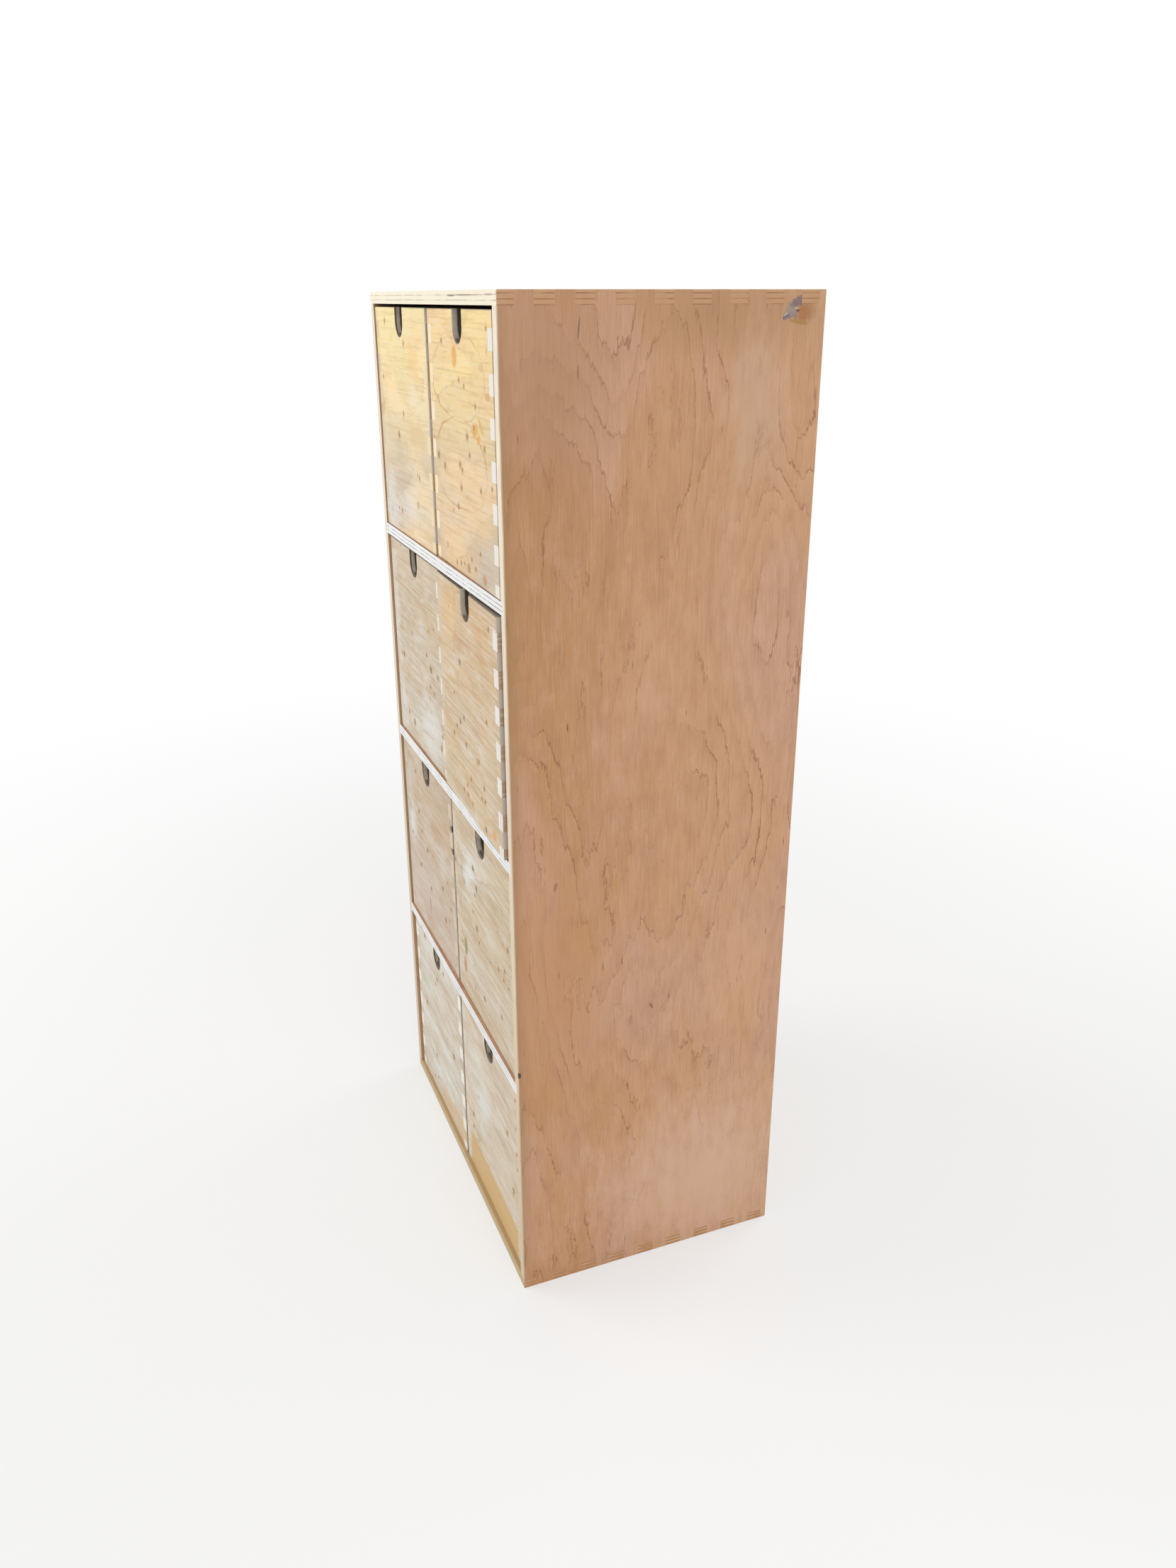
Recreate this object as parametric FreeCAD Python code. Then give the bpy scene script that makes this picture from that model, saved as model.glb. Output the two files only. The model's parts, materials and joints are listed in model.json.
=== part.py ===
"""Plywood chest of eight open-topped paper drawers.

An open-fronted case with finger-jointed corners holds three housed shelves and a
thin back panel.  Two loose drawer boxes slide side by side on each level.
All sizes are in millimetres.  X runs along the front, Y from front to back and
Z up.  The origin is the centre of the footprint, on the floor.
"""

import FreeCAD
import Part

import math
import os

# --- Case ---------------------------------------------------------------
case_width = 630.0
case_depth = 418.0
case_height = 1410.0
panel_thickness = 16.5
shelf_names = ["upper_shelf", "middle_shelf", "lower_shelf"]
housing_depth = 5.5  # how far a shelf end is let into a side panel
arris = 0.8  # eased outer edges of the case and of each drawer

# --- Finger joints, shared by the case and the drawers -------------------
first_finger = 19.5  # first finger at the front edge, or at a drawer's top
finger_width = 24.3
shortest_finger = 4.0  # a shorter remainder joins the finger before it

# --- Back panel and its pins ---------------------------------------------
back_thickness = 6.0
back_lap = 8.0  # how far the back panel laps onto the frame round it
back_play = 0.3
pin_radius = 0.8
pin_length = 22.0
pin_head_radius = 1.6
pin_head_height = 0.8
pin_play = 0.1
pin_pitch = 150.0  # largest spacing between two pins in a row

# --- Drawers -------------------------------------------------------------
drawer_wall = 16.5
side_gap = 2.5  # between a drawer and the side panel
middle_gap = 6.6  # between the two drawers of one level
top_gap = 4.2
slide_clearance = 0.3  # under a drawer, and behind it when it is pushed home
home_recess = 6.2  # how far a drawer pushed home sits behind the case front
floor_thickness = 6.0
floor_lift = 8.0  # drawer's lower edge to its floor
groove_depth = 6.0
floor_play = 0.2
notch_width = 42.0
notch_depth = 40.0

# How far each drawer stands out from home at rest.
rest_pull = {
    "row1_left": 4.2,
    "row1_right": 1.7,
    "row2_left": 2.6,
    "row2_right": 5.6,
    "row3_left": 1.0,
    "row3_right": 0.4,
    "row4_left": 1.2,
    "row4_right": 0.4,
}

# Loose drawers also sit slightly askew in their play.  Each figure is how far the
# back of a drawer stands to the right of its front, so that its right-hand end
# comes forwards.  On the second level that end stands proud of the case front.
rest_swing = {
    "row1_right": 5.2,
    "row2_right": 6.9,
    "row3_left": -2.4,
    "row3_right": 2.4,
}
corner_gap = 0.6  # between the back corner of a drawer askew and the side panel

# --- Places that follow from the sizes above -----------------------------
left_x = -case_width / 2
right_x = case_width / 2
front_y = -case_depth / 2
back_y = case_depth / 2
inner_left_x = left_x + panel_thickness
inner_right_x = right_x - panel_thickness
back_face_y = back_y - back_thickness  # front face of the back panel
row_count = len(shelf_names) + 1
bay_height = (case_height - (row_count + 1) * panel_thickness) / row_count
row_pitch = bay_height + panel_thickness

drawer_width = (inner_right_x - inner_left_x - 2 * side_gap - middle_gap) / 2
drawer_depth = case_depth - back_thickness - slide_clearance - home_recess
drawer_height = bay_height - slide_clearance - top_gap


def block(x0, x1, y0, y1, z0, z1):
    """Box between two opposite corners."""
    corner = FreeCAD.Vector(x0, y0, z0)
    return Part.makeBox(x1 - x0, y1 - y0, z1 - z0, corner)


def eased_block(x0, x1, y0, y1, z0, z1):
    """Box with all twelve edges eased by the arris."""
    solid = block(x0, x1, y0, y1, z0, z1)
    return solid.makeChamfer(arris, solid.Edges)


def save(shape, node):
    """Write one sub-part as a STEP file."""
    shape.exportStep(f"parts/{node}.step")


def finger_spans(length):
    """Start and end of each finger along a joint, in order."""
    marks = [0.0, first_finger]
    while marks[-1] + finger_width < length:
        marks.append(marks[-1] + finger_width)
    if length - marks[-1] < shortest_finger:
        marks.pop()
    marks.append(length)
    return list(zip(marks, marks[1:]))


def even_spans(length):
    """Fingers of the piece that starts the joint."""
    return finger_spans(length)[0::2]


def odd_spans(length):
    """Fingers of the piece that takes the second place in the joint."""
    return finger_spans(length)[1::2]


def shelf_underside(index):
    """Height of the underside of a shelf, counted from the top one."""
    return case_height - panel_thickness - bay_height - panel_thickness - index * row_pitch


def bay_floor(row):
    """Height of the surface that a row of drawers slides on, row 0 on top."""
    return case_height - panel_thickness - bay_height - row * row_pitch


# --- Case pieces ---------------------------------------------------------
def spread(low, high):
    """Evenly spaced places from low to high, no further apart than the pin pitch."""
    steps = max(1, int(-(-(high - low) // pin_pitch)))
    return [low + (high - low) * step / steps for step in range(steps + 1)]


def pin_places():
    """Centres of the back panel's pins as (x, z)."""
    inset = panel_thickness - back_lap / 2
    xs = spread(left_x + inset, right_x - inset)
    places = []
    for z in spread(inset, case_height - inset):
        places.append((xs[0], z))
        places.append((xs[-1], z))
    levels = [inset, case_height - inset]
    levels += [shelf_underside(i) + panel_thickness / 2 for i in range(len(shelf_names))]
    for z in levels:
        for x in xs[1:-1]:
            places.append((x, z))
    return places


def pin_solid(x, z, play):
    """One headed pin driven forwards through the back panel, grown by a play."""
    towards_front = FreeCAD.Vector(0, -1, 0)
    centre = FreeCAD.Vector(x, back_y, z)
    shank = Part.makeCylinder(pin_radius + play, pin_length + play, centre, towards_front)
    head = Part.makeCylinder(pin_head_radius + play, pin_head_height, centre, towards_front)
    return shank.fuse(head)


def case_envelope():
    """Outside of the case, with its edges eased."""
    return eased_block(left_x, right_x, front_y, back_y, 0.0, case_height)


def back_recess():
    """Rebate round the rear opening that the back panel lies in."""
    return block(
        inner_left_x - back_lap,
        inner_right_x + back_lap,
        back_face_y,
        back_y,
        panel_thickness - back_lap,
        case_height - panel_thickness + back_lap,
    )


def pin_holes():
    """All pin holes as one shape."""
    return Part.makeCompound([pin_solid(x, z, pin_play) for x, z in pin_places()])


def finish_case_piece(shape):
    """Rebate, drill and ease one piece of the case frame."""
    return shape.common(case_envelope()).cut(back_recess()).cut(pin_holes())


def side_panel(outer_x, inner_x):
    """Upright side with sockets for the top and bottom panels and the shelf housings."""
    low_x = min(outer_x, inner_x)
    high_x = max(outer_x, inner_x)
    towards_outside = 1 if outer_x > inner_x else -1
    panel = block(low_x, high_x, front_y, back_y, 0.0, case_height)
    cuts = []
    for start, end in even_spans(case_depth):
        y0 = front_y + start
        y1 = front_y + end
        cuts.append(block(low_x, high_x, y0, y1, 0.0, panel_thickness))
        cuts.append(block(low_x, high_x, y0, y1, case_height - panel_thickness, case_height))
    housing_x = inner_x + towards_outside * housing_depth
    for index in range(len(shelf_names)):
        z0 = shelf_underside(index)
        x0 = min(inner_x, housing_x)
        x1 = max(inner_x, housing_x)
        cuts.append(block(x0, x1, front_y, back_face_y, z0, z0 + panel_thickness))
    return finish_case_piece(panel.cut(cuts))


def end_panel(z0):
    """Top or bottom panel, whose fingers pass through the side panels."""
    z1 = z0 + panel_thickness
    panel = block(left_x, right_x, front_y, back_y, z0, z1)
    cuts = []
    for start, end in odd_spans(case_depth):
        y0 = front_y + start
        y1 = front_y + end
        cuts.append(block(left_x, inner_left_x, y0, y1, z0, z1))
        cuts.append(block(inner_right_x, right_x, y0, y1, z0, z1))
    return finish_case_piece(panel.cut(cuts))


def shelf(index):
    """Shelf whose ends stand in the housings of both side panels."""
    z0 = shelf_underside(index)
    board = block(
        inner_left_x - housing_depth,
        inner_right_x + housing_depth,
        front_y,
        back_face_y,
        z0,
        z0 + panel_thickness,
    )
    return board.cut(pin_holes())


def back_panel():
    """Thin back that lies in the rebate."""
    lap = back_lap - back_play
    board = block(
        inner_left_x - lap,
        inner_right_x + lap,
        back_face_y,
        back_y,
        panel_thickness - lap,
        case_height - panel_thickness + lap,
    )
    return board.cut(pin_holes())


def back_pins():
    """The pins that hold the back panel, as one group of separate solids."""
    return Part.makeCompound([pin_solid(x, z, 0.0) for x, z in pin_places()])


def make_case():
    """Write every piece of the case."""
    save(side_panel(left_x, inner_left_x), "case_left_side")
    save(side_panel(right_x, inner_right_x), "case_right_side")
    save(end_panel(case_height - panel_thickness), "case_top")
    save(end_panel(0.0), "case_bottom")
    for index, name in enumerate(shelf_names):
        save(shelf(index), name)
    save(back_panel(), "case_back")
    save(back_pins(), "back_pins")


# --- Drawer pieces, modelled with the drawer's lower front left corner at zero ---
def notch_wire(half_width, depth, y):
    """U-shaped outline of the finger notch, open above the drawer's top edge."""
    centre_x = drawer_width / 2
    round_z = drawer_height - depth + half_width
    over_z = drawer_height + notch_depth
    top_left = FreeCAD.Vector(centre_x - half_width, y, over_z)
    low_left = FreeCAD.Vector(centre_x - half_width, y, round_z)
    lowest = FreeCAD.Vector(centre_x, y, round_z - half_width)
    low_right = FreeCAD.Vector(centre_x + half_width, y, round_z)
    top_right = FreeCAD.Vector(centre_x + half_width, y, over_z)
    edges = [
        Part.makeLine(top_left, low_left),
        Part.Arc(low_left, lowest, low_right).toShape(),
        Part.makeLine(low_right, top_right),
        Part.makeLine(top_right, top_left),
    ]
    return Part.Wire(edges)


def notch_cutter():
    """Finger notch with a round bottom and eased edges on both faces."""
    half = notch_width / 2
    straight = Part.Face(notch_wire(half, notch_depth, 0.0))
    straight = straight.extrude(FreeCAD.Vector(0, drawer_wall, 0))
    flares = []
    for face_y, inside_y in ((0.0, arris), (drawer_wall, drawer_wall - arris)):
        wide = notch_wire(half + arris, notch_depth + arris, face_y)
        narrow = notch_wire(half, notch_depth, inside_y)
        flares.append(Part.makeLoft([wide, narrow], True))
    return [straight] + flares


def floor_groove():
    """Groove round the inside of the walls, with room for the floor's edge."""
    reach = groove_depth
    return block(
        drawer_wall - reach,
        drawer_width - drawer_wall + reach,
        drawer_wall - reach,
        drawer_depth - drawer_wall + reach,
        floor_lift,
        floor_lift + floor_thickness + floor_play,
    )


def finish_drawer_piece(shape):
    """Groove one wall for the floor and ease the drawer's outer edges on it."""
    envelope = eased_block(0.0, drawer_width, 0.0, drawer_depth, 0.0, drawer_height)
    return shape.common(envelope).cut(floor_groove())


def cross_wall(y0):
    """Front or back wall, whose fingers start at the drawer's top edge."""
    y1 = y0 + drawer_wall
    wall = block(0.0, drawer_width, y0, y1, 0.0, drawer_height)
    cuts = []
    for start, end in odd_spans(drawer_height):
        z0 = drawer_height - end
        z1 = drawer_height - start
        cuts.append(block(0.0, drawer_wall, y0, y1, z0, z1))
        cuts.append(block(drawer_width - drawer_wall, drawer_width, y0, y1, z0, z1))
    return finish_drawer_piece(wall.cut(cuts))


def side_wall(x0):
    """Left or right wall, whose end-grain fingers show on the drawer front."""
    x1 = x0 + drawer_wall
    wall = block(x0, x1, 0.0, drawer_depth, 0.0, drawer_height)
    cuts = []
    for start, end in even_spans(drawer_height):
        z0 = drawer_height - end
        z1 = drawer_height - start
        cuts.append(block(x0, x1, 0.0, drawer_wall, z0, z1))
        cuts.append(block(x0, x1, drawer_depth - drawer_wall, drawer_depth, z0, z1))
    return finish_drawer_piece(wall.cut(cuts))


def drawer_floor():
    """Thin floor that lies in the groove."""
    reach = groove_depth - floor_play
    return block(
        drawer_wall - reach,
        drawer_width - drawer_wall + reach,
        drawer_wall - reach,
        drawer_depth - drawer_wall + reach,
        floor_lift,
        floor_lift + floor_thickness,
    )


def drawer_turn(row, side):
    """How far a drawer at rest is turned clockwise seen from above, in radians."""
    return math.asin(rest_swing.get(drawer_name(row, side), 0.0) / drawer_depth)


def drawer_corner(row, side):
    """Lower front left corner of a drawer at rest."""
    turn = drawer_turn(row, side)
    swing = drawer_depth * math.sin(turn)
    gap = corner_gap if turn else side_gap
    x = inner_left_x + gap + max(0.0, -swing)
    if side == "right":
        x = inner_right_x - gap - max(0.0, swing) - drawer_width * math.cos(turn)
    y = front_y + home_recess - rest_pull[drawer_name(row, side)]
    y -= drawer_width * max(0.0, math.sin(-turn))
    return FreeCAD.Vector(x, y, bay_floor(row) + slide_clearance)


def drawer_name(row, side):
    """Name of a drawer by its level, counted from the top, and its side."""
    return f"row{row + 1}_{side}"


def make_drawers():
    """Write the five pieces of every drawer."""
    pieces = {
        "front": cross_wall(0.0).cut(notch_cutter()),
        "back": cross_wall(drawer_depth - drawer_wall),
        "left_wall": side_wall(0.0),
        "right_wall": side_wall(drawer_width - drawer_wall),
        "floor": drawer_floor(),
    }
    for row in range(row_count):
        for side in ("left", "right"):
            corner = drawer_corner(row, side)
            turn = math.degrees(drawer_turn(row, side))
            for piece, shape in pieces.items():
                placed = shape.copy()
                if turn:
                    placed.rotate(FreeCAD.Vector(0, 0, 0), FreeCAD.Vector(0, 0, -1), turn)
                placed.translate(corner)
                save(placed, f"{drawer_name(row, side)}_drawer_{piece}")


os.makedirs("parts", exist_ok=True)
make_case()
make_drawers()
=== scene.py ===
"""Looks for a tall plywood cabinet with eight loose box drawers for craft paper.

Laid out as an add-on: each operator finishes one group of boards in rotary-cut
plywood, or builds the studio round the cabinet, and the panel lists them.
"""

import json
import math
from dataclasses import dataclass, replace

import bpy
from mathutils import Matrix, Vector

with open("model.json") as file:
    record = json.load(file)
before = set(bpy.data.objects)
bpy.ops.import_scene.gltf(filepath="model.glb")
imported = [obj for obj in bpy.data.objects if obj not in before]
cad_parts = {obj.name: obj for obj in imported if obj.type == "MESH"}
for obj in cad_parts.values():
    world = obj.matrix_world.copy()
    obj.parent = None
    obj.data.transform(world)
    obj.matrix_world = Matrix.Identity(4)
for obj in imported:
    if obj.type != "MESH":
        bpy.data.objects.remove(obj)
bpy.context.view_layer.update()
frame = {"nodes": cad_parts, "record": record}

bl_info = {
    "name": "Paper drawer cabinet",
    "version": (1, 0, 0),
    "blender": (4, 5, 0),
    "location": "View3D > Sidebar > Cabinet",
    "description": "Plywood finishes and a studio for a cabinet of paper drawers",
    "category": "Material",
}

X, Y, Z = 0, 1, 2
PALE_WASH = (0.8, 0.8, 0.76, 1.0)

# Plywood
PLY_PLACES = (0.32, 0.68)  # cross bands, as shares of the thickness
PLY_WIDTH = 0.05
# In the finger notches the band at 0.03 is a painted shadow line just inside the front arris; the other two
# are dark plies.
NOTCH_SHADOW_AND_PLY_PLACES = (0.03, 0.58, 0.92)
NOTCH_PLY_WIDTH = 0.17
SLOPE_STEP = 0.005  # metres between the places that give a wave's slope
LEAST_SLOPE = 20.0  # keeps a growth line thin where its wave is level
DEPTH_SCALE = 0.35  # how far the figure changes through a board
SEED_STEP = 1.37  # sets the figures of two boards apart
FLECK_STEPS = (7.3, 4.7)  # the same for their flecks
RELIEF_DEPTH = 0.0006
FRONT_PLANE, FRONT_REACH = -0.205, 0.02  # where marks on the drawer fronts lie
SIDE_PLANE, SIDE_REACH = 0.315, 0.004  # where marks on the case's right side lie

# Studio
FLOOR_CORNERS = 64
SHADOW_REACH = (0.8, 3.0)  # distances between which the floor fades to white
LAMP_AIM = (0.0, 0.0, 0.75)
SENSOR_WIDTH = 36.0


# --- Shader maths ---


class Value:
    """A node socket that takes part in plain arithmetic; each operator adds its Math node."""

    def __init__(self, finish, socket):
        self.finish = finish
        self.socket = socket

    def output(self, name):
        """Another output of the same node."""
        return Value(self.finish, self.socket.node.outputs[name])

    def __add__(self, other):
        return self.finish.calc("ADD", self, other)

    def __radd__(self, other):
        return self.finish.calc("ADD", other, self)

    def __sub__(self, other):
        return self.finish.calc("SUBTRACT", self, other)

    def __rsub__(self, other):
        return self.finish.calc("SUBTRACT", other, self)

    def __mul__(self, other):
        return self.finish.calc("MULTIPLY", self, other)

    def __rmul__(self, other):
        return self.finish.calc("MULTIPLY", other, self)

    def __truediv__(self, other):
        return self.finish.calc("DIVIDE", self, other)

    def __abs__(self):
        return self.finish.calc("ABSOLUTE", self)


class Finish:
    """A material, or the world, and the few ways in which nodes are added to it."""

    def __init__(self, block):
        self.block = block
        self.block.use_nodes = True
        self.tree = block.node_tree
        self.tree.nodes.clear()

    def node(self, kind, settings=None, inputs=None, output=0):
        """Adds a node: its settings first, then the values or links of its sockets."""
        made = self.tree.nodes.new(kind)
        for name, value in (settings or {}).items():
            setattr(made, name, value)
        for name, value in (inputs or {}).items():
            if isinstance(value, Value):
                self.tree.links.new(value.socket, made.inputs[name])
            else:
                made.inputs[name].default_value = value
        return Value(self, made.outputs[output]) if made.outputs else None

    def calc(self, operation, *values):
        """A Math node."""
        return self.node("ShaderNodeMath", {"operation": operation}, dict(enumerate(values)))

    def vector(self, operation, *values, output=0):
        """A Vector Math node."""
        inputs = dict(enumerate(values))
        return self.node("ShaderNodeVectorMath", {"operation": operation}, inputs, output)

    def axes(self, vector):
        """The three numbers of a vector."""
        split = self.node("ShaderNodeSeparateXYZ", {}, {0: vector})
        return [split.output(axis) for axis in "XYZ"]

    def length(self, vector):
        """How long a vector is."""
        return self.vector("LENGTH", vector, output="Value")

    def ramp(self, value, low, high):
        """0 below low and 1 above high, with a soft rise between them."""
        return self.node(
            "ShaderNodeMapRange",
            {"interpolation_type": "SMOOTHSTEP"},
            {"Value": value, "From Min": low, "From Max": high},
        )

    def mix(self, share, first, second):
        """Two colours mixed by a share."""
        inputs = {0: share, 6: first, 7: second}
        return self.node("ShaderNodeMix", {"data_type": "RGBA"}, inputs, output=2)

    def near(self, value, centre, reach):
        """1 at the centre, falling softly to 0 at this reach on both sides of it."""
        return 1.0 - self.ramp(abs(value - centre), reach * 0.35, reach)

    def noise(self, place, scale, detail=2.0, roughness=0.5):
        """Smooth noise over a place. The scale is one number, or one for each of X, Y and maybe Z."""
        if isinstance(scale, float):
            scale = (scale, scale, scale)
        stretched = self.vector("MULTIPLY", place, (scale + (1.0,))[:3])
        inputs = {"Vector": stretched, "Scale": 1.0, "Detail": detail, "Roughness": roughness}
        return self.node("ShaderNodeTexNoise", {}, inputs)

    def surface(self, shader):
        """Ends a material's tree with this shader."""
        self.node("ShaderNodeOutputMaterial", {}, {"Surface": shader})
        return self.block


def new_material(name):
    """An empty material to add nodes to."""
    return Finish(bpy.data.materials.new(name))


def colour(red, green, blue):
    """A colour with its alpha."""
    return (red, green, blue, 1.0)


def rgba(values):
    """A colour property as a socket's value."""
    return tuple(values[:3]) + (1.0,)


# --- Plywood ---


@dataclass
class StainAndShading:
    """A soft mark on a board: its centre and half sizes in metres, and its colour. Most are stains; a few
    are painted shade, and a few painted highlights.

    torn moves its outline on a coarse scale, and frayed on a fine one.
    """

    centre: tuple
    size: tuple
    tint: tuple
    strength: float = 0.7
    torn: float = 0.5
    soft: float = 0.35
    turn: float = 0.0
    frayed: float = 0.0
    square: bool = False


@dataclass
class Ring:
    """One closed growth ring: its centre and half sizes in metres."""

    centre: tuple
    size: tuple
    strength: float = 0.6


@dataclass
class Veneer:
    """How one kind of board looks. Pairs give a value along the grain and one across it."""

    low: tuple
    high: tuple
    blush: tuple
    vein: tuple
    fleck: tuple
    edge: tuple
    edge_band: tuple
    end: tuple
    end_band: tuple
    halo: tuple = (0.62, 0.36, 0.14, 1.0)
    edge_low: tuple = None
    rear: tuple = None
    inner: tuple = None
    inner_side: float = 1.0
    mouth: tuple = None
    mouth_band: tuple = None
    mouth_reach: float = 0.03
    wash_top: float = 1.0
    rear_share: float = 0.0
    band_places: tuple = PLY_PLACES
    band_width: float = PLY_WIDTH
    end_places: tuple = PLY_PLACES
    end_width: float = PLY_WIDTH
    grime: float = 0.25
    ring_pitch: float = 0.0
    ring_sway: float = 4.0
    ring_scale: tuple = (3.0, 9.0)
    ring_jag: tuple = (16.0, 150.0)
    ring_jag_size: float = 0.3
    ring_width: float = 0.0008
    ring_strength: float = 0.4
    ring_shade: float = 0.2
    fibre_scale: tuple = (14.0, 420.0)
    fibre_strength: float = 0.22
    mottle_scale: tuple = (22.0, 55.0)
    mottle_strength: float = 0.22
    fleck_scale: tuple = (46.0, 40.0)
    fleck_share: float = 0.8
    fleck_size: float = 0.16
    fleck_strength: float = 0.75
    halo_strength: float = 0.35
    wash: tuple = PALE_WASH
    wash_strength: float = 0.0
    roughness: float = 0.52
    relief: float = 0.12
    rings: tuple = ()
    stains_and_shading: tuple = ()
    knots: tuple = ()


def growth_lines(finish, board, across, look):
    """Thin ragged growth lines of a peeled veneer, and the darker wood that leads up to each.

    The lines are where a slow wave crosses whole numbers. Its slope, taken between
    neighbouring places, keeps every line as thin as the others.
    """

    def wave_at(place):
        """The slow wave at a place."""
        return finish.noise(place, look.ring_scale, detail=1.0, roughness=0.4)

    wave = wave_at(board)
    beside = wave_at(finish.vector("ADD", board, (0.0, SLOPE_STEP, 0.0)))
    ahead = wave_at(finish.vector("ADD", board, (SLOPE_STEP, 0.0, 0.0)))
    slope_across = (beside - wave) * (look.ring_sway / SLOPE_STEP) + look.ring_pitch
    slope_along = (ahead - wave) * (look.ring_sway / SLOPE_STEP)
    steepness = slope_across * slope_across + slope_along * slope_along
    slope = finish.calc("SQRT", steepness + LEAST_SLOPE * LEAST_SLOPE)
    jag = finish.noise(board, look.ring_jag, detail=4.0, roughness=0.62)
    turn = across * look.ring_pitch + wave * look.ring_sway + (jag - 0.5) * look.ring_jag_size
    fraction = finish.calc("FRACT", turn)
    away = (0.5 - abs(fraction - 0.5)) / slope
    line = 1.0 - finish.ramp(away, look.ring_width * 0.3, look.ring_width * 1.5)
    return line, finish.ramp(fraction, 0.25, 1.0), jag


def knot_distance(finish, room, knots):
    """Distance to the nearest of these knots, each a place on the front and a radius."""
    flat = finish.vector("MULTIPLY", room, (1.0, 0.0, 1.0))
    nearest = None
    for across, up, radius in knots:
        away = finish.vector("DISTANCE", flat, (across, 0.0, up), output="Value") * (1.0 / radius)
        nearest = away if nearest is None else finish.calc("MINIMUM", nearest, away)
    return nearest


def plies(finish, wood, varied, light, dark, places, width):
    """Sawn plies: dark bands on lighter wood, which is its depth, its fibres and its grime."""
    depth, fibres, grime = wood
    bands = None
    for centre in places:
        one = finish.near(depth, centre, width)
        bands = one if bands is None else bands + one
    soiled = finish.ramp(fibres, 0.4, 0.78) * grime
    return finish.mix(bands * varied + soiled, light, dark)


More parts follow.
